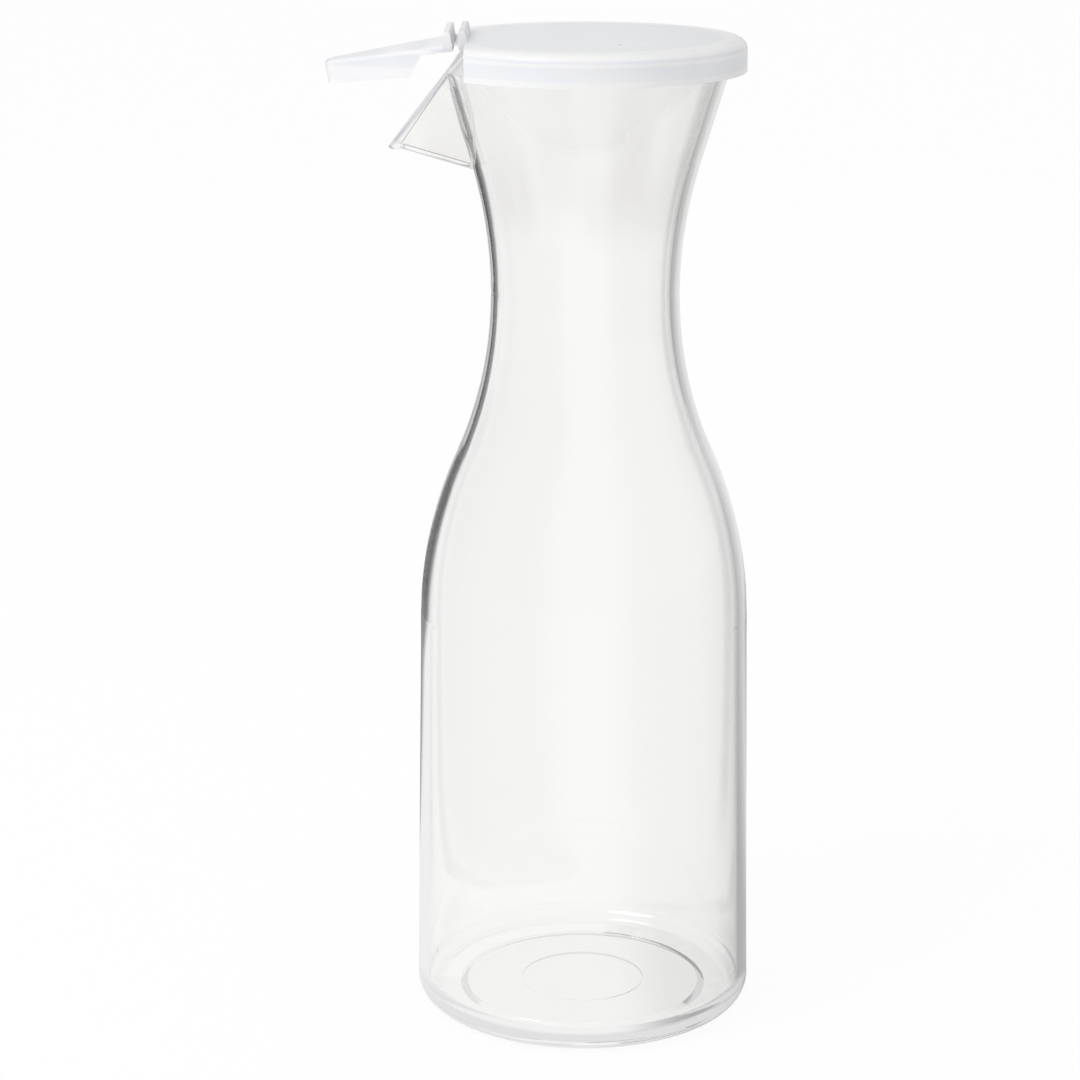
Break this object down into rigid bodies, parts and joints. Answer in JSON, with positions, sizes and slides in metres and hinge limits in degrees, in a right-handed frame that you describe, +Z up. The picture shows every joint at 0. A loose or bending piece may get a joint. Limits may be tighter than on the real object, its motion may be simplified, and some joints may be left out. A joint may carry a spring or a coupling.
{
  "type": "plastic carafe",
  "caption": "Clear plastic serving carafe with an ogee shoulder, slim waist, flared neck and pouring beak, and a press-fit lid with a hinged spout flap shown partly open.",
  "frame": {"origin": "centre of the base, on the surface it stands on and on the axis of the round body", "axes": "+Z up through the mouth, the pouring beak points along -X, +Y completes the right-handed frame and is the hinge line's direction"},
  "size_m": [0.11, 0.089, 0.2596],
  "materials": {
    "clear_plastic": "clear polished polycarbonate",
    "lid_plastic": "translucent natural polyethylene, fine satin"
  },
  "bodies": {
    "vessel": {"carafe": "clear_plastic", "lid": "lid_plastic"},
    "flap": {"spout_flap": "lid_plastic"}
  },
  "joints": [
    {"name": "flap_hinge", "type": "hinge", "parent": "vessel", "child": "flap", "pos_m": [-0.0323, 0, 0.2562], "axis": [0, 1, 0], "range_deg": [-44, 24]}
  ]
}
